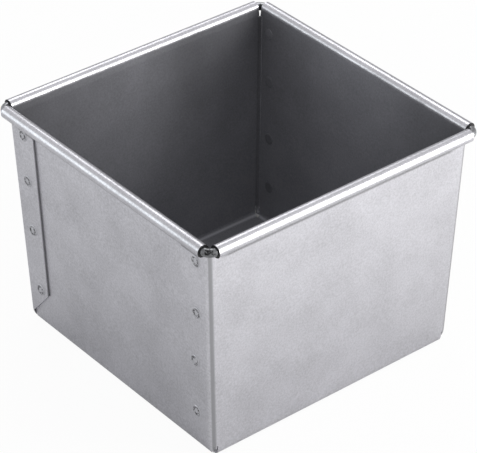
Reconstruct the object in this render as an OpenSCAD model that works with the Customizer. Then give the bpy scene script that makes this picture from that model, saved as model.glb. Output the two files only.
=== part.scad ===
// Square loaf pan folded from one sheet of coated steel, with a rim rolled over a wire.
// The two end walls (across X) carry flaps that fold round the corners and are riveted to the side walls (across Y).
// The origin is the middle of the underside, and Z is up.

/* [Pan] */
// Inside width of the mouth across X, at the height of the rim wire
mouth_w = 123.4; // [120:0.1:160]
// Inside length of the mouth across Y, at the height of the rim wire
mouth_l = 124.9; // [120:0.1:300]
// Inside width of the floor across X
base_w = 117.3; // [100:0.1:121]
// Inside length of the floor across Y
base_l = 117.3; // [100:0.1:290]
// Height over all, from the underside of the floor to the top of the rim
pan_h = 102; // [70:1:140]

/* [Sheet] */
// Thickness of the sheet
sheet_t = 0.8; // [0.5:0.1:1.2]
// Inside radius of the bends round the floor
floor_r = 2.4; // [1.6:0.1:4]
// Inside radius of the upright corner folds
corner_r = 1.8; // [1.2:0.1:3]

/* [Rim] */
// Diameter of the wire
wire_d = 3.5; // [3:0.1:6]
// Free space between the wire and the sheet rolled round it
wire_clear = 0.05; // [0.02:0.01:0.2]
// Centre-line radius of the wire at the corners
wire_bend_r = 3.2; // [3.1:0.1:6]
// Gap where the two ends of the wire meet inside the rim
wire_joint = 0.4; // [0.2:0.1:2]
// How far the rolled rim stands out beyond the wall's own plane
rim_out = 0.3; // [0:0.05:0.6]
// Angle through which the sheet is rolled round the wire
roll_turn = 308; // [200:2:310]
// How far the rolled rim stops short of the inner corner
rim_short = 0.3; // [0:0.1:3]

/* [Corner flaps] */
// Width of a flap at its top, from its fold to its free edge
flap_w = 13.3; // [12.5:0.1:25]
// Width that the flap would have at its foot, if its lower end weren't cut off
flap_foot_w = 11.2; // [10.5:0.1:25]
// Angle of the sloping cut at the lower end of a flap
flap_slope = 47; // [30:1:55]
// Gap between a flap and the wall that it is riveted to
lap_gap = 0.06; // [0.03:0.01:0.2]
// Gap between the top of a flap and the rolled rim
flap_drop = 0.4; // [0.2:0.1:5]
// Inside radius of the rounded foot of a corner fold
foot_r = 4.5; // [4:0.1:6]
// Width of the slits that free the foot of a corner fold from both walls
slit_w = 0.3; // [0.1:0.05:0.6]
// Diameter of the small hole where the slits meet
relief_d = 1.4; // [0.8:0.1:1.8]

/* [Rivets] */
// Diameter of a rivet's shank
rivet_d = 2.4; // [1.6:0.1:3.2]
// Diameter of a rivet's heads
head_d = 5; // [4:0.1:6.5]
// Height of the closed head, outside
head_h = 0.35; // [0.2:0.05:1]
// Height of the factory head, inside
inner_head_h = 0.25; // [0.15:0.05:0.6]
// Diameter of the dimple in the closed head
dimple_d = 1.8; // [0.8:0.1:2.6]
// Free space round a rivet's shank and under its heads
rivet_clear = 0.03; // [0.01:0.01:0.1]
// Distance of the rivets from the inner corner
rivet_inset = 7.5; // [6:0.1:9]
// Height of the lowest rivets above the table
rivet_low = 18.6; // [16:0.1:26]
// Distance of the highest rivets below the top of the rim
rivet_drop = 11.1; // [10:0.1:20]

/* [Hidden] */
$fn = 64;

// Places are kept to whole micrometres, so that neighbouring faces meet exactly
function um(x) = round(x * 1000) / 1000;

// Outside radius of the floor bends, and radius of the rolled rim over the sheet
bend_out = floor_r + sheet_t;
bead_r = wire_d / 2 + wire_clear + sheet_t;
wire_z = pan_h - bead_r;

// Height of the neck, in which the top of the wall leans out to meet the rolled rim
neck_h = um(bead_r * 0.75);

// Lean of the end walls and of the side walls away from upright
lean_x = atan((mouth_w - base_w) / 2 / (wire_z - sheet_t));
lean_y = atan((mouth_l - base_l) / 2 / (wire_z - sheet_t));

// Half-distance of each floor bend's centre line from the middle of the pan
function bend_at(base, lean) = um(base / 2 - floor_r * (1 - sin(lean)) / cos(lean));
bend_x = bend_at(base_w, lean_x);
bend_y = bend_at(base_l, lean_y);

// Length of each wall's flat sheet from its floor bend to its rolled rim
function flat_len(lean) = um((wire_z - bend_out + (floor_r + rim_out + bead_r) * sin(lean)) / cos(lean));
flat_x = flat_len(lean_x);
flat_y = flat_len(lean_y);

// The corner fold's axis is parallel to both walls: its foot along the end wall, and its slope there
axis_in = corner_r - sheet_t - lap_gap;
foot_z = bend_out - (floor_r - corner_r) * sin(lean_x) - sheet_t;
foot_w = um(base_l / 2 + foot_z * tan(lean_y) - axis_in / cos(lean_y));
fan = atan(tan(lean_y) * cos(lean_x));
fold_turn = um(acos(sin(lean_x) * sin(lean_y)));

// The side wall's cut edge stops where it would meet the inside of the corner fold
fold_clear = lap_gap / 2;
edge_in = um(sqrt(pow(corner_r - fold_clear, 2) - pow(corner_r - lap_gap, 2)));

// Along the corner fold's axis: where its foot begins to round in, the top of the flaps, and the notch above them
foot_rise = um(foot_r - floor_r);
flap_top = um(wire_z - bead_r - flap_drop - bend_out);
notch_top = um(flap_top + flap_drop);

// Start of the sloping cut past the fold, and how far the walls stop short of the inner corner above the flaps
slope_from = sheet_t / 4;
wall_short = rim_short + sheet_t / 8;

// Depth of the flap's two faces inside the fold's circles, so that each face leaves its circle at a clean edge
ease = 0.002;

// Wire centre lines, and the length that a cutting block needs to clear the whole pan
wire_x = um(mouth_w / 2 + (rim_out + bead_r) / cos(lean_x));
wire_y = um(mouth_l / 2 + (rim_out + bead_r) / cos(lean_y));
block = mouth_w + mouth_l + pan_h;

// Corners by name, each with its side across X and across Y
CORNERS = [["front_left", -1, -1], ["front_right", 1, -1], ["back_left", -1, 1], ["back_right", 1, 1]];
RIVETS = 4;
// The rivets are set by hand: how far each one, from the lowest up, lies off even spacing, inwards and up
RIVET_OFF = [
    [[1.3, 0], [0.5, 4.5], [0.7, 4], [1, 1]],
    [[0.6, 0], [0.8, 0.5], [-0.9, 0], [-1.1, 0]],
    [[0.2, -1], [-0.5, -1.5], [-0.8, 1.5], [-1.4, -0.5]],
    [[0.4, 0.5], [-0.3, 1], [0.2, -1], [-0.5, 0]]];
rivet_step = (pan_h - rivet_drop - rivet_low) / (RIVETS - 1);
grip = 2 * sheet_t + lap_gap + 2 * rivet_clear;

function rivet_name(c, i) = str("rivet_", CORNERS[c][0], "_", i + 1);
function rivet_along(c, i) = um(rivet_inset - corner_r + RIVET_OFF[c][i][0]);
function rivet_up(c, i) = um((rivet_low + i * rivet_step + RIVET_OFF[c][i][1] - bend_out) / cos(lean_y));

// Turns a flat profile upright and draws it out along the wall
module along(length) {
    rotate([90, 0, 0]) linear_extrude(height = length, center = true) children();
}

// Stands at the floor bend of one wall, before the wall leans out
module at_bend(across) {
    translate([across, 0, bend_out]) children();
}

// A piece and its mirror image across X
module across_x() {
    children();
    mirror([1, 0, 0]) children();
}

// A piece and its mirror image across Y
module across_y() {
    children();
    mirror([0, 1, 0]) children();
}

// Carries a piece of the corner at plus X and plus Y to the corner that is named
module to_corner(corner) {
    mirror([corner[1] < 0 ? 1 : 0, 0, 0])
        mirror([0, corner[2] < 0 ? 1 : 0, 0])
            children();
}

// Stands on the corner fold's axis: X out of the end wall, Y round the corner, Z up the fold
module at_fold() {
    at_bend(bend_x)
        rotate([0, lean_x, 0])
            translate([um(floor_r - corner_r), foot_w, 0])
                rotate([-fan, 0, 0])
                    children();
}

// The same place turned round the fold: X out of the side wall, Y along it away from the corner
module at_flap() {
    at_fold() rotate([0, 0, fold_turn]) children();
}

// Quarter ring of sheet that turns the floor up into a wall
module bend_profile(lean) {
    difference() {
        circle(r = bend_out);
        circle(r = floor_r);
        translate([-block, -block]) square([block, 2 * block]);
        rotate(-lean) translate([-block, 0]) square([2 * block, block]);
    }
}

// Sheet rolled outwards over the wire, from the top of the wall round to its own outer face
module roll_profile() {
    roll_end = 180 - roll_turn;
    mouth = 2 * bead_r;
    difference() {
        circle(r = bead_r);
        circle(r = bead_r - sheet_t);
        polygon([[0, 0], [-mouth, 0], [-mouth, -mouth], [0, -mouth],
            [mouth * cos(roll_end), mouth * sin(roll_end)]]);
    }
}

// Ground that one floor bend may cover, mitred against its neighbours
module mitre(across, half_len) {
    reach = bend_out + 1;
    gap = slit_w / 2;
    linear_extrude(height = 2 * bend_out, center = true)
        polygon([[across, gap - half_len], [across + reach, gap - half_len - reach],
            [across + reach, half_len + reach - gap], [across, half_len - gap]]);
}

module floor_bend(across, half_len, lean) {
    intersection() {
        at_bend(across) along(2 * (half_len + bend_out)) bend_profile(lean);
        mitre(across, half_len);
    }
}

// Flat sheet of a wall, with its neck, up to the start of the rolled rim
module wall_profile(flat) {
    translate([floor_r, 0])
        polygon([[0, 0], [sheet_t, 0], [sheet_t, flat - neck_h], [sheet_t + rim_out, flat],
            [rim_out, flat], [0, flat - neck_h]]);
}

module flat_wall(across, half_len, lean, flat) {
    at_bend(across)
        rotate([0, lean, 0])
            along(2 * (half_len + bend_out + mouth_l))
                wall_profile(flat);
}

module rolled_rim(across, mouth, lean, flat) {
    at_bend(across)
        rotate([0, lean, 0])
            along(mouth - 2 * rim_short)
                translate([um(floor_r + rim_out + bead_r), flat]) roll_profile();
}

// Clear all that lies beyond a plane across Y, or before it
module clear_beyond(y) {
    translate([-block, y, -block]) cube([2 * block, block, 2 * block]);
}

module clear_before(y) {
    translate([-block, y - block, -block]) cube([2 * block, block, 2 * block]);
}

// A cutting block, kept below a height
module below(z) {
    translate([0, 0, um(z - block)]) children();
}

module relief_hole() {
    translate([0, 0, -2 * bend_out]) cylinder(d = relief_d, h = 2 * bend_out);
}

// Both walls stop at the fold, but above the flaps they run on nearly to the ends of their rims
module end_wall() {
    difference() {
        union() {
            flat_wall(bend_x, bend_y, lean_x, flat_x);
            floor_bend(bend_x, bend_y, lean_x);
        }
        across_y() clear_beyond(um(mouth_l / 2 - wall_short));
        across_y() at_fold() below(notch_top) clear_beyond(0);
        across_y() at_fold() below(foot_rise) clear_beyond(-slit_w / 2);
        across_y() at_fold() relief_hole();
    }
    rolled_rim(bend_x, mouth_l, lean_x, flat_x);
}

module side_wall() {
    difference() {
        rotate([0, 0, 90]) {
            flat_wall(bend_y, bend_x, lean_y, flat_y);
            floor_bend(bend_y, bend_x, lean_y);
        }
        across_x() rotate([0, 0, -90]) clear_beyond(um(mouth_w / 2 - wall_short));
        across_x() at_flap() below(notch_top) clear_before(-edge_in);
        across_x() at_flap() below(foot_rise) clear_before(slit_w / 2);
        across_x() at_fold() relief_hole();
    }
    rotate([0, 0, 90]) rolled_rim(bend_y, mouth_w, lean_y, flat_y);
}

// Sheet folded round the corner and on along the side wall, seen along the fold
module fold_section() {
    difference() {
        union() {
            circle(r = corner_r + sheet_t);
            rotate(fold_turn) square([corner_r + sheet_t - ease, flap_w + sheet_t]);
        }
        circle(r = corner_r);
        rotate(fold_turn) translate([-block, 0]) square([block + corner_r - ease, block]);
        translate([-block, -block]) square([2 * block, block]);
    }
}

// A flat outline on the side wall, drawn out to a cutting block right through the flap
module through_flap() {
    translate([-block, 0, 0]) rotate([90, 0, 90]) linear_extrude(height = 2 * block) children();
}

// Ground below the flap's sloping cut, which starts just past the fold
module below_slope() {
    rise = tan(flap_slope);
    translate([slope_from, foot_rise])
        polygon([[-1, -rise], [2 * flap_w, 2 * flap_w * rise], [2 * flap_w, -rise]]);
}

// Ground past the flap's free edge, which leans in towards its foot
module past_edge() {
    taper = flap_w - flap_foot_w;
    polygon([[flap_foot_w - taper, -flap_top], [flap_w + taper, 2 * flap_top],
        [3 * flap_w, 2 * flap_top], [3 * flap_w, -flap_top]]);
}

// Foot of the corner fold, which rounds in towards the floor
module fold_foot() {
    difference() {
        rotate_extrude(angle = fold_turn)
            difference() {
                translate([um(corner_r - foot_r), 0]) circle(r = foot_r + sheet_t);
                translate([um(corner_r - foot_r), 0]) circle(r = foot_r);
                translate([-block, 0]) square([2 * block, block]);
                translate([relief_d / 2 - block, -block]) square([block, 2 * block]);
            }
        clear_before(slit_w / 2);
        rotate([0, 0, fold_turn]) clear_beyond(-slit_w / 2);
    }
}

module corner_flap() {
    difference() {
        translate([0, 0, foot_rise]) linear_extrude(height = um(flap_top - foot_rise)) fold_section();
        rotate([0, 0, fold_turn]) through_flap() below_slope();
        rotate([0, 0, fold_turn]) through_flap() past_edge();
    }
    translate([0, 0, foot_rise]) fold_foot();
}

// Stands at one rivet, on the side wall's inner face and looking out
module at_rivet(c, i) {
    to_corner(CORNERS[c])
        at_flap()
            translate([um(axis_in), rivet_along(c, i), rivet_up(c, i)])
                rotate([0, 90, 0])
                    children();
}

module rivet_hole() {
    translate([0, 0, -sheet_t]) cylinder(d = rivet_d + 2 * rivet_clear, h = grip + 2 * sheet_t);
}

module pan_body() {
    color([0.74, 0.75, 0.77])
        difference() {
            union() {
                translate([-bend_x, -bend_y, 0]) cube([2 * bend_x, 2 * bend_y, sheet_t]);
                across_x() end_wall();
                across_y() side_wall();
                across_x() across_y() at_fold() corner_flap();
            }
            for (c = [0 : len(CORNERS) - 1], i = [0 : RIVETS - 1]) at_rivet(c, i) rivet_hole();
        }
}

module wire_side(across, half_len) {
    translate([across, 0, 0]) rotate([90, 0, 0]) cylinder(d = wire_d, h = 2 * half_len, center = true);
}

// Closed ring of wire inside the rolled rim, bare at the four corners
module rim_wire() {
    side_x = um(wire_x - wire_bend_r);
    side_y = um(wire_y - wire_bend_r);
    color([0.45, 0.46, 0.48])
        translate([0, 0, wire_z])
            difference() {
                union() {
                    across_x() wire_side(wire_x, side_y);
                    rotate([0, 0, 90]) across_x() wire_side(wire_y, side_x);
                    across_x() across_y()
                        translate([side_x, side_y, 0])
                            rotate_extrude(angle = 90) translate([wire_bend_r, 0]) circle(d = wire_d);
                }
                translate([-wire_x, 0, 0]) cube([2 * wire_d, wire_joint, 2 * wire_d], center = true);
            }
}

// Rivet with a low factory head inside and a closed, dimpled head outside
module rivet() {
    closed_z = grip - rivet_clear;
    dimple_r = (pow(dimple_d / 2, 2) + pow(head_h * 0.7, 2)) / (2 * head_h * 0.7);
    edge = min(inner_head_h, head_h);
    color([0.66, 0.67, 0.70]) {
        translate([0, 0, -rivet_clear - inner_head_h])
            cylinder(d1 = head_d - 2 * edge, d2 = head_d, h = inner_head_h);
        translate([0, 0, -rivet_clear]) cylinder(d = rivet_d, h = grip);
        difference() {
            translate([0, 0, closed_z]) cylinder(d1 = head_d, d2 = head_d - 2 * edge, h = head_h);
            translate([0, 0, closed_z + head_h * 0.3 + dimple_r]) sphere(r = dimple_r);
        }
    }
}

pan_body();
rim_wire();
for (c = [0 : len(CORNERS) - 1], i = [0 : RIVETS - 1])
    at_rivet(c, i) rivet();
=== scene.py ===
"""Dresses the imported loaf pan: bare steel outside, dark coat inside, rim wire and rivets, on a pale floor."""

import math
from collections import namedtuple

import bpy
from bpy.props import FloatProperty, FloatVectorProperty, PointerProperty
from bpy.types import Operator, Panel, PropertyGroup
from mathutils import Matrix, Vector


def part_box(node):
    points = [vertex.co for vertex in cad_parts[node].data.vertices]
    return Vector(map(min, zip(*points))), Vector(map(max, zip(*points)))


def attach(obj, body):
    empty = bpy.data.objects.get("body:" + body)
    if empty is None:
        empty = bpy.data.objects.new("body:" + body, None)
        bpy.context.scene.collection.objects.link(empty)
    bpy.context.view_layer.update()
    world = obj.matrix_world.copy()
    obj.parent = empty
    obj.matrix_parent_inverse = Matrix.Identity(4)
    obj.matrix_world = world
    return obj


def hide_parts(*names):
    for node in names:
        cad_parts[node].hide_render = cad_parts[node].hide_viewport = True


bl_info = {
    "name": "Folded loaf pan",
    "version": (1, 0, 0),
    "blender": (4, 5, 0),
    "location": "View3D > Sidebar > Loaf pan",
    "description": "Dresses a folded sheet-steel loaf pan with a wired rim, and lights it on a pale floor",
    "category": "Object",
}

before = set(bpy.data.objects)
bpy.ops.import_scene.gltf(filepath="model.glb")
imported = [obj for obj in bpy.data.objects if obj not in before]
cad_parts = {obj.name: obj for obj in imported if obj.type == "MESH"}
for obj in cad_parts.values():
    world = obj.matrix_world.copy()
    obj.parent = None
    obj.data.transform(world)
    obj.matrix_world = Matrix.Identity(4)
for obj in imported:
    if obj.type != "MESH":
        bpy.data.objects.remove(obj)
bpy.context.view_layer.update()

MM = 0.001
TABLE_Z = 0.0
FLOOR_RADIUS = 3.0
MERGE_DISTANCE = 0.0005 * MM
SHEET_SHARP_DEGREES = 28
ROUND_SHARP_DEGREES = 40
ALONG_AXIS = 0.9
BARE, COATED, CUT = range(3)
BLACK = (0.0, 0.0, 0.0)
WHITE = (1.0, 1.0, 1.0)

# How a finish is mottled: its two shades against its own colour, the roughness at each, and its relief.
Finish = namedtuple("Finish", ("dark", "light", "rough_dark", "rough_light", "relief"))
STEEL = Finish(0.78, 1.18, 0.50, 0.40, 0.014 * MM)
COAT = Finish(0.80, 1.25, 0.44, 0.34, 0.010 * MM)
SHEARED = Finish(0.70, 1.30, 0.65, 0.50, 0.020 * MM)
WIRE = Finish(0.75, 1.25, 0.22, 0.36, 0.006 * MM)
RIVET = Finish(0.85, 1.10, 0.50, 0.38, 0.020 * MM)
# The coat over the rivets' inner heads is painted darker, as shade that hides the highlight on their raised
# edge.
SHADED_COATED_HEAD = RIVET._replace(dark=0.50, light=0.80)

RIVET_NODES = sorted(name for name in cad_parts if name.startswith("rivet_"))


def length(name, about, default_mm):
    """A size that a user may change, given in millimetres and kept in metres."""
    return FloatProperty(name=name, description=about, default=default_mm * MM, unit="LENGTH", precision=5)


def colour(name, about, default):
    return FloatVectorProperty(
        name=name, description=about, default=default, subtype="COLOR", size=3, min=0, max=1)


def share(name, about, default):
    return FloatProperty(name=name, description=about, default=default, subtype="FACTOR", min=0, max=1)


def angle(name, about, degrees):
    return FloatProperty(name=name, description=about, default=math.radians(degrees), subtype="ANGLE")


def power(name, about, watts):
    return FloatProperty(name=name, description=about, default=watts, unit="POWER")


class SheetSettings(PropertyGroup):
    """Sizes and finishes of the folded sheet."""

    mouth_w: length("Mouth width", "Inside width of the mouth along X, level with the rim wire", 123.4)
    mouth_l: length("Mouth length", "Inside length of the mouth along Y, level with the rim wire", 124.9)
    base: length("Base", "Inside width and length of the floor", 117.3)
    wire_height: length("Wire height", "Height of the rim wire's centre line above the table", 99.4)
    thickness: length("Sheet", "Thickness of the sheet", 0.8)
    roll: length("Roll", "Outside radius of the rolled rim", 2.6)
    roll_out: length("Roll set-out", "How far the rolled rim stands out beyond the wall's own plane", 0.3)
    bare_steel: colour("Bare steel", "Colour of the bare coated steel outside", (0.620, 0.616, 0.657))
    # Painted dark reflection: the steel on the folds round the upright corners is painted in this darker
    # colour.
    fold_shade: colour("Worn folds", "Colour of the steel folded round a corner", (0.385, 0.385, 0.405))
    dark_coat: colour("Dark coat", "Colour of the coat inside", (0.212, 0.213, 0.235))
    cut_edge: colour("Cut edge", "Colour of the sheet's cut edges", (0.23, 0.23, 0.24))
    # Painted shade in the inner corners of the coat.
    corner_shade_tone: share("Corner tone", "How much darker the coat is at the top of the inner corners", 0.5)
    corner_shade_line: share("Corner line", "How much darker the coat is right in the inner corners", 0.35)
    # Painted shade on the coat of the left wall, beside the back corner.
    left_wall_shade_tone: share("Dull stretch", "How much darker the coat is high up, left of the back corner", 0.26)
    # Painted shade: the cut ends of the rolled rim are painted dark, as the shade in the gap round the wire.
    rim_end_shade: share("Burnt ends", "How much darker the cut ends of the rolled rim are", 0.85)
    # Painted shade: the bare steel is darker towards the walls' foot.
    foot_shade: share("Foot tone", "Brightness of the bare steel at the walls' foot, against the top", 0.84)
    rim_tone: share("Rim tone", "Brightness of the rolled rim, against the wall under it", 0.95)
    rim_polish: share("Rim polish", "How much less rough the rolled rim is than the walls", 0.13)
    # Painted shade in the recess under the rolled rim.
    crevice_shade_tone: share("Crevice tone", "Brightness of the steel in the crevice under the rolled rim", 0.52)
    grain: length("Grain", "Size of the fine grain of the bare steel", 0.8)
    cloud: length("Clouds", "Size of the soft cloudy patches of the bare steel", 9)
    cloud_share: share("Cloud share", "Share of the clouds in the tone of the bare steel", 0.35)
    scuff: length("Scuffs", "Width of the faint upright scuffs", 2.2)
    scuff_share: share("Scuff share", "Strength of the faint upright scuffs", 0.25)
    coat_stop: length("Coat stop", "Height at which the dark coat runs out on the rolled rim", 100.3)


class WireSettings(PropertyGroup):
    """Finish of the rim wire."""

    drawn_wire: colour("Drawn wire", "Colour of the bare wire", (0.31, 0.315, 0.33))
    streak: length("Streaks", "Spacing of the drawing streaks along the wire", 0.5)
    bend_x: length("Bend across", "Distance of the wire's bends from the middle, across the pan", 61.4)
    bend_y: length("Bend along", "Distance of the wire's bends from the middle, along the pan", 62.15)
    # Painted dark reflection on the bare wire at the front corner.
    painted_reflection: FloatVectorProperty(
        name="Smudge", description="Middle of the black smudge on the bare wire",
        default=(64.8 * MM, -65.5 * MM, 100.3 * MM), size=3, unit="LENGTH", precision=5)


class RivetSettings(PropertyGroup):
    """Shape and finish of the rivets."""

    shank: length("Shank", "Radius of the shank", 1.2)
    head: length("Head", "Radius of both heads", 2.5)
    grip: length("Grip", "Distance between the undersides of the two heads", 1.72)
    closed_head: length("Closed head", "Height of the closed head outside", 0.35)
    inner_head: length("Inner head", "Height of the factory head inside", 0.25)
    seat: length("Seat", "Gap between the factory head and the sheet", 0.03)
    rivet_steel: colour("Rivet steel", "Colour of the rivets", (0.56, 0.56, 0.595))
    # Painted shade in the rivets' ring grooves, broken into mottled spots.
    groove_shade: colour("Grime", "Colour of the grime in the rivets' grooves", (0.08, 0.08, 0.085))


class StageSettings(PropertyGroup):
    """Floor, lights and camera."""

    floor: colour("Floor", "Colour of the floor", (0.74, 0.74, 0.74))
    shaded_floor: colour("Shaded floor", "Colour of the floor right under the pan", (0.12, 0.12, 0.12))
    glow: share("Floor glow", "Share of the floor's white that doesn't depend on the lamps", 0.95)
    contact: length("Contact", "Half the width of the ground in the pan's own contact shadow", 56.5)
    contact_edge: length("Contact edge", "Width of the soft edge of the contact shadow", 1.5)
    hidden: length("Hidden", "Place of the shaded ground at the back corner, both ways from the middle", 58.8)
    hidden_radius: length("Hidden radius", "Radius of the shaded ground at the back corner", 4.2)
    hidden_edge: length("Hidden edge", "Width of the soft edge of the shaded ground at the back corner", 1.8)
    mirrored: share("Mirrored glow", "The same share where the floor is seen in the metal", 0.1)
    sky: FloatProperty(name="Sky", description="Strength of the even light from all round", default=0.84)
    dim: share("Dim back", "Strength of the sky low down at the back left, against the rest", 0.55)
    shade: share("Dim front", "Strength of the sky half-way up at the front left, against the rest", 0.86)
    key: power("Key", "Power of the large softbox on the right", 4.5)
    top: power("Top", "Power of the far softbox overhead", 5.2)
    low: power("Low", "Power of the low softbox on the left", 1.65)
    yaw: angle("Yaw", "Turn of the camera about the upright axis", 50.951)
    pitch: angle("Pitch", "How far the camera looks down", 34.073)
    roll: angle("Roll", "Tilt of the camera about its own line of sight", -0.068)
    distance: length("Distance", "Distance of the camera along its line of sight", 1048.18)
    aside: length("Aside", "Shift of the camera to its own right", 0.56)
    lift: length("Lift", "Shift of the camera along its own upright", 41.359)
    lens: FloatProperty(name="Lens", description="Focal length of the camera", default=194.005, unit="CAMERA")


class Graph:
    """Adds nodes to a node tree in few words: a value that is a socket is linked, and any other is set."""

    def __init__(self, tree):
        self.tree = tree
        self.count = 0

    def add(self, kind, inputs=None, **settings):
        node = self.tree.nodes.new(kind)
        node.location = (220 * (self.count % 8), -260 * (self.count // 8))
        self.count += 1
        for name, value in settings.items():
            setattr(node, name, value)
        for name, value in (inputs or {}).items():
            self.feed(node.inputs[name], value)
        return node

    def feed(self, socket, value):
        if isinstance(value, bpy.types.NodeSocket):
            self.tree.links.new(value, socket)
        else:
            socket.default_value = value

    def maths(self, operation, first, second=0.0):
        return self.add("ShaderNodeMath", {0: first, 1: second}, operation=operation).outputs[0]

    def times(self, first, second):
        return self.maths("MULTIPLY", first, second)

    def larger(self, first, second):
        return self.maths("MAXIMUM", first, second)

    def size(self, value):
        return self.maths("ABSOLUTE", value)

    def vector_maths(self, operation, first, second):
        """The vector or the one number that an operation makes of two vectors."""
        node = self.add("ShaderNodeVectorMath", {0: first, 1: second}, operation=operation)
        return next(socket for socket in node.outputs if socket.enabled)

    def split(self, vector):
        """The three parts of a vector, by the names X, Y and Z."""
        return self.add("ShaderNodeSeparateXYZ", {"Vector": vector}).outputs

    def remap(self, value, low, high, to_low=0.0, to_high=1.0):
        given = {"Value": value, "From Min": low, "From Max": high, "To Min": to_low, "To Max": to_high}
        return self.add("ShaderNodeMapRange", given).outputs["Result"]

    def fade(self, value, low, high):
        """1 up to the low value, then down to 0 at the high one."""
        return self.remap(value, low, high, 1.0, 0.0)

    def hump(self, value, foot, top, top_end, end):
        """0 up to the foot, 1 between the two tops, and 0 again from the end."""
        return self.times(self.remap(value, foot, top), self.fade(value, top_end, end))

    def noise(self, vector, size, detail=3.0, roughness=0.6):
        """Noise with features of about one size, in metres."""
        scale = self.maths("DIVIDE", 1.0, size) if isinstance(size, bpy.types.NodeSocket) else 1.0 / size
        given = {"Vector": vector, "Scale": scale, "Detail": detail, "Roughness": roughness}
        return self.add("ShaderNodeTexNoise", given).outputs["Fac"]

    def between(self, amount, first, second):
        """A number between two others."""
        return self.add("ShaderNodeMix", {"Factor": amount, "A": first, "B": second}).outputs["Result"]

    def blend(self, amount, first, second):
        """A colour between two others."""
        node = self.add("ShaderNodeMix", data_type="RGBA")
        self.feed(node.inputs["Factor"], amount)
        self.feed(node.inputs["A"], first if isinstance(first, bpy.types.NodeSocket) else rgba(first))
        self.feed(node.inputs["B"], second if isinstance(second, bpy.types.NodeSocket) else rgba(second))
        return node.outputs["Result"]

    def shades(self, tone, base, finish):
        """The colour of a finish, which mottles one base colour."""
        return self.blend(tone, tinted(base, finish.dark), tinted(base, finish.light))

    def roughness(self, tone, finish):
        """The roughness of a finish, which mottles together with its colour."""
        return self.remap(tone, 0.0, 1.0, finish.rough_dark, finish.rough_light)

    def relief(self, height, finish):
        """The bumped normal of a finish."""
        return self.add("ShaderNodeBump", {"Height": height, "Distance": finish.relief}).outputs["Normal"]


def rgba(value):
    return (value[0], value[1], value[2], 1.0)


def tinted(value, factor):
    """The same colour, lighter or darker."""
    return tuple(min(1.0, channel * factor) for channel in value)


def new_group(name, inputs, outputs):
    """An empty shader node group with named sockets, its graph and its two end nodes."""
    tree = bpy.data.node_groups.new(name, "ShaderNodeTree")
    for label, kind in inputs:
        tree.interface.new_socket(name=label, in_out="INPUT", socket_type=kind)
    for label, kind in outputs:
        tree.interface.new_socket(name=label, in_out="OUTPUT", socket_type=kind)
    graph = Graph(tree)
    return graph, graph.add("NodeGroupInput").outputs, graph.add("NodeGroupOutput").inputs


def sheet_grain_group():
    """Fine mottled grain and soft clouds of a coated sheet, as a tone from 0 to 1 and a height."""
    name = "Sheet grain"
    if name in bpy.data.node_groups:
        return bpy.data.node_groups[name]
    graph, given, result = new_group(
        name,
        [("Vector", "NodeSocketVector"), ("Grain", "NodeSocketFloat"), ("Cloud", "NodeSocketFloat"),
         ("Cloud share", "NodeSocketFloat")],
        [("Tone", "NodeSocketFloat"), ("Height", "NodeSocketFloat")],
    )
    crisp = graph.remap(graph.noise(given["Vector"], given["Grain"]), 0.3, 0.7)
    wide = graph.noise(given["Vector"], graph.times(given["Cloud"], 2.0), roughness=0.55)
    soft = graph.remap(wide, 0.32, 0.68)
    graph.feed(result["Tone"], graph.between(given["Cloud share"], crisp, soft))
    graph.feed(result["Height"], crisp)
    return graph.tree


def handling_group():
    """Faint long scuffs of a pan that has been stacked and washed, as a mask from 0 to 1."""
    name = "Handling scuffs"
    if name in bpy.data.node_groups:
        return bpy.data.node_groups[name]
    graph, given, result = new_group(
        name,
        [("Vector", "NodeSocketVector"), ("Size", "NodeSocketFloat")],
        [("Scuffs", "NodeSocketFloat")],
    )
    drawn = graph.add("ShaderNodeMapping", {"Vector": given["Vector"], "Scale": (1.0, 1.0, 0.12)})
    lines = graph.noise(drawn.outputs["Vector"], given["Size"], 4.0, 0.65)
    patches = graph.noise(given["Vector"], graph.maths("DIVIDE", given["Size"], 0.06), 1.0, 0.5)
    thin = graph.remap(lines, 0.60, 0.74)
    where = graph.remap(patches, 0.48, 0.66)
    graph.feed(result["Scuffs"], graph.times(thin, where))
    return graph.tree


def use_group(graph, tree, values):
    node = graph.add("ShaderNodeGroup", node_tree=tree)
    for name, value in values.items():
        graph.feed(node.inputs[name], value)
    return node.outputs


def new_material(name):
    """A material with an empty Principled BSDF, its graph and the object's own coordinates."""
    material = bpy.data.materials.new(name)
    material.use_nodes = True
    material.node_tree.nodes.clear()
    graph = Graph(material.node_tree)
    place = graph.add("ShaderNodeTexCoord").outputs["Object"]
    shader = graph.add("ShaderNodeBsdfPrincipled")
    output = graph.add("ShaderNodeOutputMaterial")
    graph.feed(output.inputs["Surface"], shader.outputs["BSDF"])
    return material, graph, place, shader.inputs


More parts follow.
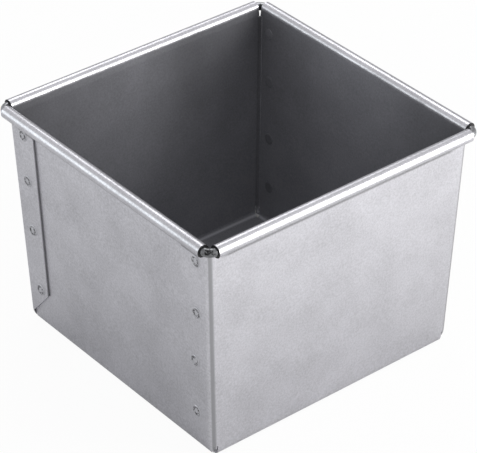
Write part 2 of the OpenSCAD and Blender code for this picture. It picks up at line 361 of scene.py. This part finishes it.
def steel_look(graph, place, sheet):
    """Colour, roughness, height and tone of coated steel sheet.

    It has a mottled grain with soft clouds and faint scuffs, a painted dark reflection on the folds round the
    upright corners, and painted shade towards the walls' foot and in the narrow recess under the rolled rim.
    """
    grain = use_group(graph, sheet_grain_group(), {
        "Vector": place, "Grain": sheet.grain, "Cloud": sheet.cloud, "Cloud share": sheet.cloud_share})
    scuffs = use_group(graph, handling_group(), {"Vector": place, "Size": sheet.scuff})["Scuffs"]
    body = graph.shades(grain["Tone"], sheet.bare_steel, STEEL)
    scuffed = graph.blend(graph.times(scuffs, sheet.scuff_share), body, tinted(sheet.bare_steel, 1.2))

    # Painted dark reflection on the folds round the upright corners, which alone face partly along X and partly
    # along Y.
    facing = graph.split(graph.add("ShaderNodeTexCoord").outputs["Normal"])
    off_side = graph.remap(graph.size(facing["X"]), 0.60, 0.74)
    off_end = graph.remap(graph.size(facing["Y"]), 0.10, 0.36)
    fold_shaded = graph.blend(graph.times(off_side, off_end), scuffed, sheet.fold_shade)

    # The painted shade of the recess lies just under the rim and in its lower half, and stops short of the
    # corners.
    parts = graph.split(place)
    height = parts["Z"]
    under = sheet.wire_height - sheet.roll
    rolled = graph.remap(height, under - 0.6 * MM, under)
    from_middle = graph.maths("MINIMUM", graph.size(parts["X"]), graph.size(parts["Y"]))
    crevice_shade = graph.hump(height, under - 3.8 * MM, under - 3.15 * MM, under + 0.7 * MM, under + 2.1 * MM)
    crevice_shade = graph.times(crevice_shade, graph.fade(from_middle, 54 * MM, 58 * MM))

    # Painted shade: the steel is darker towards the walls' foot, and in the recess under the rim.
    tone = graph.times(graph.remap(height, 0.0, under, sheet.foot_shade, 1.0),
                       graph.remap(rolled, 0.0, 1.0, 1.0, sheet.rim_tone))
    tone = graph.times(tone, graph.remap(crevice_shade, 0.0, 1.0, 1.0, sheet.crevice_shade_tone))
    steel = graph.add("ShaderNodeVectorMath", {0: fold_shaded, "Scale": tone}, operation="SCALE").outputs["Vector"]
    satin = graph.roughness(grain["Tone"], STEEL)
    satin = graph.maths("SUBTRACT", satin, graph.times(rolled, sheet.rim_polish))
    return steel, satin, grain["Height"], grain["Tone"]


def bare_steel_material(sheet):
    """Coated steel sheet: a pale satin metal."""
    material, graph, place, shader = new_material("bare_steel")
    steel, satin, height, _ = steel_look(graph, place, sheet)
    graph.feed(shader["Base Color"], steel)
    shader["Metallic"].default_value = 1.0
    graph.feed(shader["Roughness"], satin)
    graph.feed(shader["Normal"], graph.relief(height, STEEL))
    return material


def inside_gap(graph, place, sheet, part, mouth):
    """How far a point lies inside the leaning inner faces of the two walls across one way of the mouth."""
    parts = graph.split(place)
    lean = math.tan(lean_of(sheet, mouth))
    half = graph.maths("ADD", graph.times(parts["Z"], lean), sheet.base / 2 - sheet.thickness * lean)
    return graph.maths("SUBTRACT", half, graph.size(parts[part]))


def corner_painted_shades(graph, place, sheet):
    """Two masks of painted shade at the inner corners: a thin line, and a wide shade that grows with height.

    The wide shade reaches 80 mm along the walls across X, and 50 mm along the walls across Y.
    """
    reach_x, reach_y = 50 * MM, 80 * MM
    gap_x = graph.times(inside_gap(graph, place, sheet, "X", sheet.mouth_w), reach_y / reach_x)
    gap = graph.larger(gap_x, inside_gap(graph, place, sheet, "Y", sheet.mouth_l))
    line = graph.remap(gap, 0.4 * MM, 1.4 * MM, sheet.corner_shade_line, 0.0)
    high = graph.remap(graph.split(place)["Z"], 15 * MM, 95 * MM, 0.0, sheet.corner_shade_tone)
    return line, graph.times(graph.fade(gap, 0.0, reach_y), high)


def left_wall_painted_shade(graph, place, sheet):
    """Mask of painted shade on the coat of the left wall, beside the back corner, which grows with height."""
    parts = graph.split(place)
    from_back = graph.maths("SUBTRACT", sheet.base / 2, parts["Y"])
    stretch = graph.hump(from_back, 4 * MM, 30 * MM, 36 * MM, 66 * MM)
    on_left = graph.fade(parts["X"], -54 * MM, -48 * MM)
    high = graph.remap(parts["Z"], 16 * MM, 83 * MM, 0.0, sheet.left_wall_shade_tone)
    return graph.times(graph.times(stretch, on_left), high)


def dark_coat_material(sheet):
    """Dark satin coat inside the pan, which runs out on the rolled rim, with a painted highlight along the
    floor's round edge.
    """
    material, graph, place, shader = new_material("dark_coat")
    steel, satin, height, tone = steel_look(graph, place, sheet)
    level = graph.split(place)["Z"]
    uneven = graph.remap(graph.noise(place, 7 * MM), 0.3, 0.7, -0.3 * MM, 0.3 * MM)
    stop = sheet.coat_stop
    bare = graph.remap(graph.maths("ADD", level, uneven), stop - 0.9 * MM, stop + 0.5 * MM)
    coat = graph.shades(tone, sheet.dark_coat, COAT)
    # Painted highlight: a paler line of coat along the floor's rounded edge.
    foot, middle, top = (sheet.thickness + above * MM for above in (0.1, 0.45, 1.1))
    bend_highlight = graph.hump(level, foot, middle, middle, top)
    coat = graph.blend(graph.times(bend_highlight, 0.9), coat, tinted(sheet.dark_coat, 2.2))
    # Painted shade at the inner corners and on the left wall beside the back corner.
    for shade in (*corner_painted_shades(graph, place, sheet), left_wall_painted_shade(graph, place, sheet)):
        coat = graph.blend(shade, coat, BLACK)
    graph.feed(shader["Base Color"], graph.blend(bare, coat, steel))
    graph.feed(shader["Metallic"], bare)
    graph.feed(shader["Roughness"], graph.between(bare, graph.roughness(tone, COAT), satin))
    graph.feed(shader["Normal"], graph.relief(height, COAT))
    return material


def cut_edge_material(sheet):
    """Raw sheared edge: dark steel with shear lines and a bright burr, and painted shade at the ends of the
    rim.
    """
    material, graph, place, shader = new_material("cut_edge")
    lines = graph.noise(place, 0.3 * MM)
    under = sheet.wire_height - sheet.roll
    at_rim = graph.remap(graph.split(place)["Z"], under - 1 * MM, under)
    body = graph.shades(lines, sheet.cut_edge, SHEARED)
    beyond = graph.times(inside_gap(graph, place, sheet, "Y", sheet.mouth_l), -1.0)
    burr = graph.remap(beyond, 1.5 * sheet.thickness, 1.95 * sheet.thickness, 0.0, 0.85)
    body = graph.blend(burr, body, tinted(sheet.bare_steel, 0.8))
    # Painted shade at the cut ends of the rolled rim.
    rim_end_shade = tinted(sheet.cut_edge, 1 - sheet.rim_end_shade)
    graph.feed(shader["Base Color"], graph.blend(at_rim, body, rim_end_shade))
    shader["Metallic"].default_value = 0.6
    graph.feed(shader["Roughness"], graph.roughness(lines, SHEARED))
    graph.feed(shader["Normal"], graph.relief(lines, SHEARED))
    return material


def wire_painted_reflection(graph, place, wire):
    """Mask of a ragged black painted reflection on the bare wire at the front corner, in a wider half-dark
    patch.
    """
    ragged = graph.remap(graph.noise(place, 0.9 * MM), 0.35, 0.65, -0.55 * MM, 0.55 * MM)
    away = graph.vector_maths("SUBTRACT", place, wire.painted_reflection)
    parts = graph.split(away)
    along = graph.times(graph.size(graph.maths("ADD", parts["X"], parts["Y"])), 0.32)
    apart = graph.add("ShaderNodeVectorMath", {0: away}, operation="LENGTH").outputs["Value"]
    reach = graph.larger(graph.larger(along, graph.size(parts["Z"])), graph.times(apart, 0.2))
    black = graph.fade(graph.maths("ADD", reach, ragged), 0.4 * MM, 1.2 * MM)
    return graph.larger(black, graph.remap(apart, 3 * MM, 6 * MM, 0.4, 0.0))


def bend_inside_shade(graph, place, wire):
    """Mask of painted shade on the side of the wire's four bends that faces the middle of the pan."""
    parts = graph.split(place)
    past = [graph.maths("SUBTRACT", graph.size(parts[part]), half)
            for part, half in (("X", wire.bend_x), ("Y", wire.bend_y))]
    return graph.fade(graph.larger(*past), 1.5 * MM, 2.1 * MM)


def drawn_wire_material(wire):
    """Bare drawn wire: half-bright metal with faint streaks, a painted dark reflection at the front corner and
    painted shade inside its bends.
    """
    material, graph, place, shader = new_material("drawn_wire")
    streaks = graph.noise(place, wire.streak)
    body = graph.shades(streaks, wire.drawn_wire, WIRE)
    black = graph.larger(wire_painted_reflection(graph, place, wire), bend_inside_shade(graph, place, wire))
    graph.feed(shader["Base Color"], graph.blend(black, body, tinted(wire.drawn_wire, 0.08)))
    shader["Metallic"].default_value = 1.0
    graph.feed(shader["Roughness"], graph.roughness(streaks, WIRE))
    graph.feed(shader["Normal"], graph.relief(streaks, WIRE))
    return material


def rivet_material(rivets, sheet):
    """Closed rivet: dull steel with painted shade in the ring groove, and the dark coat, painted darker still
    as shade, over its head inside the pan.
    """
    material, graph, place, shader = new_material("rivet_steel")
    groove = graph.add("ShaderNodeAttribute", attribute_name="groove").outputs["Fac"]
    coated = graph.add("ShaderNodeAttribute", attribute_name="coated").outputs["Fac"]
    mottle = graph.noise(place, 0.9 * MM)
    # Painted shade in the ring groove, broken into mottled spots.
    broken = graph.times(groove, graph.remap(mottle, 0.44, 0.54))
    body = graph.blend(broken, graph.shades(mottle, rivets.rivet_steel, RIVET), rivets.groove_shade)
    coat = graph.shades(mottle, sheet.dark_coat, SHADED_COATED_HEAD)
    graph.feed(shader["Base Color"], graph.blend(coated, body, coat))
    graph.feed(shader["Metallic"], graph.maths("SUBTRACT", 1.0, coated))
    graph.feed(shader["Roughness"], graph.roughness(mottle, RIVET))
    graph.feed(shader["Normal"], graph.relief(mottle, RIVET))
    return material


def deselect_all():
    bpy.ops.object.select_all(action="DESELECT")


def make_active(piece):
    deselect_all()
    piece.select_set(True)
    bpy.context.view_layer.objects.active = piece


def merged_copy(node, name):
    """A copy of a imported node's mesh with its loose triangles joined."""
    piece = bpy.data.objects.new(name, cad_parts[node].data.copy())
    bpy.context.scene.collection.objects.link(piece)
    make_active(piece)
    bpy.ops.object.mode_set(mode="EDIT")
    bpy.ops.mesh.select_all(action="SELECT")
    bpy.ops.mesh.remove_doubles(threshold=MERGE_DISTANCE)
    bpy.ops.mesh.customdata_custom_splitnormals_clear()
    bpy.ops.object.mode_set(mode="OBJECT")
    return piece


def smooth_with_flat_faces(piece, sharp_degrees):
    """Shades round faces smooth and keeps flat ones flat."""
    make_active(piece)
    bpy.ops.object.shade_smooth_by_angle(angle=math.radians(sharp_degrees), keep_sharp_edges=False)
    bpy.ops.object.modifier_add(type="WEIGHTED_NORMAL")
    piece.modifiers[-1].keep_sharp = True
    piece.modifiers[-1].weight = 100
    bpy.ops.object.modifier_apply(modifier=piece.modifiers[-1].name)


def lean_of(sheet, mouth):
    """How far the walls on both sides of the mouth lean away from upright."""
    return math.atan((mouth - sheet.base) / 2 / (sheet.wire_height - sheet.thickness))


def inner_half(sheet, mouth, z):
    """Half the inside width of the pan at one height, across one way of the mouth."""
    return sheet.base / 2 + (z - sheet.thickness) * math.tan(lean_of(sheet, mouth))


def sheet_zone(sheet, centre, normal):
    """The finish of one face: bare steel, the dark coat and its end on the rolled rim, or a cut edge."""
    under = sheet.wire_height - sheet.roll
    across = abs(centre.x) - inner_half(sheet, sheet.mouth_w, centre.z)
    along = abs(centre.y) - inner_half(sheet, sheet.mouth_l, centre.z)
    past = max(across, along)
    flap_foot = 3.3 * MM
    flap_edge = along > 0 and along > across and abs(normal.x) > ALONG_AXIS
    if flap_edge and flap_foot < centre.z < under:
        return CUT
    inside_x = sheet.mouth_w / 2 - 0.1 * MM
    inside_y = sheet.mouth_l / 2 - 0.1 * MM
    end_x = abs(normal.x) > ALONG_AXIS and abs(centre.x) < inside_x and abs(centre.y) > inside_y
    end_y = abs(normal.y) > ALONG_AXIS and abs(centre.y) < inside_y and abs(centre.x) > inside_x
    if centre.z > under - 0.5 * MM and (end_x or end_y):
        return CUT
    on_roll = sheet.wire_height < centre.z < sheet.wire_height + 0.7 * sheet.roll
    if on_roll and past < sheet.roll_out + sheet.roll / 2:
        return COATED
    if sheet.thickness / 2 < centre.z < sheet.wire_height and past < 0.55 * sheet.thickness:
        return COATED
    return BARE


class LOAFPAN_OT_sheet(Operator):
    """Dress the folded sheet: bare steel outside, a dark coat inside, raw cut edges"""

    bl_idname = "loafpan.sheet"
    bl_label = "Folded sheet"

    def execute(self, context):
        sheet = context.scene.loafpan_sheet
        piece = merged_copy("pan_body", "folded_sheet")
        smooth_with_flat_faces(piece, SHEET_SHARP_DEGREES)
        finishes = {BARE: bare_steel_material, COATED: dark_coat_material, CUT: cut_edge_material}
        piece.data.materials.clear()
        for zone in sorted(finishes):
            piece.data.materials.append(finishes[zone](sheet))
        for face in piece.data.polygons:
            face.material_index = sheet_zone(sheet, face.center, face.normal)
        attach(piece, "root")
        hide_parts("pan_body")
        return {"FINISHED"}


class LOAFPAN_OT_wire(Operator):
    """Dress the rim wire"""

    bl_idname = "loafpan.wire"
    bl_label = "Rim wire"

    def execute(self, context):
        piece = merged_copy("rim_wire", "rim_wire_drawn")
        smooth_with_flat_faces(piece, ROUND_SHARP_DEGREES)
        piece.data.materials.clear()
        piece.data.materials.append(drawn_wire_material(context.scene.loafpan_wire))
        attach(piece, "root")
        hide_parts("rim_wire")
        return {"FINISHED"}


def grow(rings, start_z):
    """Draws the selected top face up through rings of a given radius and height."""
    radius, height = rings[0]
    for next_radius, next_height in rings[1:]:
        bpy.ops.mesh.extrude_region_move(TRANSFORM_OT_translate={"value": (0, 0, next_height - height)})
        factor = next_radius / radius
        bpy.ops.transform.resize(value=(factor, factor, 1), center_override=(0, 0, start_z))
        radius, height = next_radius, next_height


def rivet_blank(rivets):
    """One rivet modelled at the origin: factory head down, closed head with its ring groove up."""
    inner = -rivets.inner_head - rivets.seat
    under = rivets.grip - rivets.seat
    top = under + rivets.closed_head
    head, shank = rivets.head, rivets.shank
    rings = [
        (head * 0.35, inner), (head * 0.62, inner + 0.03 * MM), (head * 0.84, inner + 0.09 * MM),
        (head * 0.96, inner + 0.16 * MM), (head, -rivets.seat - 0.01 * MM), (head, -rivets.seat),
        (shank, -rivets.seat), (shank, under), (head, under), (head * 0.99, under + 0.08 * MM),
        (head * 0.93, top - 0.14 * MM), (head * 0.84, top - 0.08 * MM), (head * 0.76, top - 0.10 * MM),
        (head * 0.66, top - 0.24 * MM), (head * 0.54, top - 0.26 * MM), (head * 0.43, top - 0.12 * MM),
        (head * 0.30, top - 0.05 * MM), (head * 0.14, top - 0.04 * MM),
    ]
    deselect_all()
    bpy.ops.mesh.primitive_circle_add(
        vertices=40, radius=rings[0][0], fill_type="NGON", location=(0, 0, inner))
    piece = bpy.context.object
    bpy.ops.object.transform_apply(location=True, rotation=True, scale=True)
    bpy.ops.object.mode_set(mode="EDIT")
    bpy.ops.mesh.select_all(action="SELECT")
    bpy.ops.mesh.select_mode(type="FACE")
    grow(rings, inner)
    bpy.ops.mesh.select_all(action="SELECT")
    bpy.ops.mesh.normals_make_consistent(inside=False)
    bpy.ops.object.mode_set(mode="OBJECT")
    groove = piece.data.attributes.new("groove", "FLOAT", "POINT")
    coated = piece.data.attributes.new("coated", "FLOAT", "POINT")
    groove_radius = 0.62 * head
    for vertex in piece.data.vertices:
        from_groove = abs(vertex.co.xy.length - groove_radius) / head
        in_groove = min(1.0, max(0.0, 1.6 - from_groove / 0.2))
        groove.data[vertex.index].value = in_groove if vertex.co.z > under else 0.0
        coated.data[vertex.index].value = 1.0 if vertex.co.z < 0 else 0.0
    return piece


def rivet_frame(sheet, node):
    """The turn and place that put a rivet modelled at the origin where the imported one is."""
    low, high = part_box(node)
    middle = (low + high) / 2
    outward = 1 if middle.y > 0 else -1
    lean = lean_of(sheet, sheet.mouth_l)
    axis = Vector((0, outward * math.cos(lean), -math.sin(lean)))
    along = Vector((1, 0, 0))
    turn = Matrix((along, axis.cross(along), axis)).transposed()
    return turn, middle, axis


class LOAFPAN_OT_rivets(Operator):
    """Model one rivet and set a copy of it at each of the sixteen places in the corner flaps"""

    bl_idname = "loafpan.rivets"
    bl_label = "Rivets"

    def execute(self, context):
        rivets, sheet = context.scene.loafpan_rivets, context.scene.loafpan_sheet
        blank = rivet_blank(rivets)
        material = rivet_material(rivets, sheet)
        reach = (rivets.grip + rivets.closed_head - rivets.inner_head) / 2 - rivets.seat
        for node in RIVET_NODES:
            turn, middle, axis = rivet_frame(sheet, node)
            piece = bpy.data.objects.new(node + "_closed", blank.data.copy())
            context.scene.collection.objects.link(piece)
            piece.data.transform(Matrix.Translation(middle - axis * reach) @ turn.to_4x4())
            smooth_with_flat_faces(piece, ROUND_SHARP_DEGREES)
            piece.data.materials.append(material)
            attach(piece, "root")
            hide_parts(node)
        bpy.data.objects.remove(blank)
        return {"FINISHED"}


def clear_floor(graph, stage):
    """Mask of the floor outside the pan's contact shadow, on its own coordinates.

    The slit at the pan's inner back corner looks out on ground in deep shade, just behind the pan. That
    ground is dark only for a camera in front. From behind it is plain open floor.
    """
    place = graph.add("ShaderNodeTexCoord").outputs["Object"]
    parts = graph.split(place)
    out = graph.larger(graph.size(parts["X"]), graph.size(parts["Y"]))
    beside = graph.remap(out, stage.contact, stage.contact + stage.contact_edge)
    off_corner = graph.vector_maths("DISTANCE", place, (-stage.hidden, stage.hidden, 0))
    behind = graph.remap(off_corner, stage.hidden_radius, stage.hidden_radius + stage.hidden_edge)
    seen_from = graph.add("ShaderNodeNewGeometry").outputs["Incoming"]
    from_front = graph.vector_maths("DOT_PRODUCT", seen_from, (1, -1, 0))
    return graph.maths("MINIMUM", beside, graph.larger(behind, graph.fade(from_front, 0.1, 0.2)))


def floor_material(stage):
    """Pale floor: partly its own white, to stay pale in every view, and partly lit, to keep shadows."""
    material = bpy.data.materials.new("pale_floor")
    material.use_nodes = True
    material.node_tree.nodes.clear()
    graph = Graph(material.node_tree)
    own = graph.add("ShaderNodeEmission", {"Color": rgba(WHITE), "Strength": 1.0})
    path = graph.add("ShaderNodeLightPath").outputs
    clear = clear_floor(graph, stage)
    seen = graph.times(graph.times(path["Is Camera Ray"], stage.glow), clear)
    matt = graph.add("ShaderNodeBsdfDiffuse", {"Color": graph.blend(clear, stage.shaded_floor, stage.floor)})
    mirrored = graph.times(graph.larger(path["Is Glossy Ray"], path["Is Transmission Ray"]), stage.mirrored)
    mixed = graph.add("ShaderNodeMixShader", {0: graph.larger(seen, mirrored)})
    graph.feed(mixed.inputs[1], matt.outputs["BSDF"])
    graph.feed(mixed.inputs[2], own.outputs["Emission"])
    graph.feed(graph.add("ShaderNodeOutputMaterial").inputs["Surface"], mixed.outputs["Shader"])
    return material


def light_sky(context, stage):
    """An even pale sky, dimmer low down at the back left and half-way up at the front left."""
    sky = context.scene.world or bpy.data.worlds.new("sky")
    context.scene.world = sky
    sky.use_nodes = True
    sky.node_tree.nodes.clear()
    graph = Graph(sky.node_tree)
    ray = graph.add("ShaderNodeTexCoord").outputs["Generated"]
    back_left = graph.vector_maths("DOT_PRODUCT", ray, (-0.65, 0.745, 0.15))
    front_left = graph.vector_maths("DOT_PRODUCT", ray, (-0.30, -0.65, 0.70))
    dimmed = graph.times(stage.sky, graph.remap(back_left, 0.6, 0.97, 1.0, stage.dim))
    dimmed = graph.times(dimmed, graph.remap(front_left, 0.4, 0.95, 1.0, stage.shade))
    shader = graph.add("ShaderNodeBackground", {"Color": rgba(WHITE), "Strength": dimmed})
    graph.feed(graph.add("ShaderNodeOutputWorld").inputs["Surface"], shader.outputs["Background"])


def softbox(name, place, aim, power, width, height, tint=WHITE):
    """Hangs a soft rectangular lamp at a place, turned towards a point."""
    direction = Vector(aim) - Vector(place)
    turn = direction.to_track_quat("-Z", "Y").to_euler()
    bpy.ops.object.light_add(type="AREA", location=place, rotation=turn)
    lamp = bpy.context.object
    lamp.name = name
    lamp.data.shape = "RECTANGLE"
    lamp.data.size = width
    lamp.data.size_y = height
    lamp.data.energy = power
    lamp.data.color = tint


def place_camera(context, stage):
    """The photo's own view, from the front corner and above."""
    turn = (Matrix.Rotation(stage.yaw, 4, "Z") @ Matrix.Rotation(math.pi / 2 - stage.pitch, 4, "X")
            @ Matrix.Rotation(stage.roll, 4, "Z"))
    bpy.ops.object.camera_add()
    camera = bpy.context.object
    stand = turn @ Vector((stage.aside, stage.lift, stage.distance))
    camera.matrix_world = Matrix.Translation(stand) @ turn
    camera.data.lens = stage.lens
    camera.data.sensor_fit = "HORIZONTAL"
    camera.data.sensor_width = 36
    context.scene.camera = camera


class LOAFPAN_OT_stage(Operator):
    """Set the pale floor, the softboxes, the even sky and the camera"""

    bl_idname = "loafpan.stage"
    bl_label = "Stage"

    def execute(self, context):
        stage = context.scene.loafpan_stage
        deselect_all()
        bpy.ops.mesh.primitive_circle_add(
            vertices=64, radius=FLOOR_RADIUS, fill_type="NGON", location=(0, 0, TABLE_Z))
        floor = bpy.context.object
        floor.name = "pale_floor"
        floor.data.materials.append(floor_material(stage))
        softbox("key_softbox", place=(0.555, 0.42, 0.255), aim=(0, 0, 0.09), power=stage.key,
                width=0.5, height=0.49, tint=(1.0, 0.995, 0.96))
        softbox("top_softbox", place=(-0.927, 0.65, 1.50), aim=(0, 0, 0.1), power=stage.top,
                width=0.76, height=0.76)
        softbox("low_softbox", place=(-0.85, -0.85, 0.30), aim=(0, 0, 0.1), power=stage.low,
                width=0.8, height=0.56, tint=(0.92, 1.0, 1.0))
        light_sky(context, stage)
        context.scene.view_settings.view_transform = "Standard"
        place_camera(context, stage)
        return {"FINISHED"}


class LOAFPAN_PT_sidebar(Panel):
    """Sizes, colours and steps of the loaf pan"""

    bl_idname = "LOAFPAN_PT_sidebar"
    bl_label = "Loaf pan"
    bl_space_type = "VIEW_3D"
    bl_region_type = "UI"
    bl_category = "Loaf pan"

    def draw(self, context):
        for operator, settings in STEPS:
            box = self.layout.box()
            box.operator(operator.bl_idname)
            group = getattr(context.scene, settings)
            for name in group.__annotations__:
                box.prop(group, name)


SETTINGS = {
    "loafpan_sheet": SheetSettings,
    "loafpan_wire": WireSettings,
    "loafpan_rivets": RivetSettings,
    "loafpan_stage": StageSettings,
}
STEPS = (
    (LOAFPAN_OT_sheet, "loafpan_sheet"),
    (LOAFPAN_OT_wire, "loafpan_wire"),
    (LOAFPAN_OT_rivets, "loafpan_rivets"),
    (LOAFPAN_OT_stage, "loafpan_stage"),
)
CLASSES = (*SETTINGS.values(), *(operator for operator, settings in STEPS), LOAFPAN_PT_sidebar)


def register():
    for entry in CLASSES:
        bpy.utils.register_class(entry)
    for name, group in SETTINGS.items():
        setattr(bpy.types.Scene, name, PointerProperty(type=group))


def unregister():
    for name in SETTINGS:
        delattr(bpy.types.Scene, name)
    for entry in reversed(CLASSES):
        bpy.utils.unregister_class(entry)


def main():
    """Registers the classes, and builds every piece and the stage."""
    register()
    bpy.ops.loafpan.sheet()
    bpy.ops.loafpan.wire()
    bpy.ops.loafpan.rivets()
    bpy.ops.loafpan.stage()


if __name__ == "__main__":
    main()
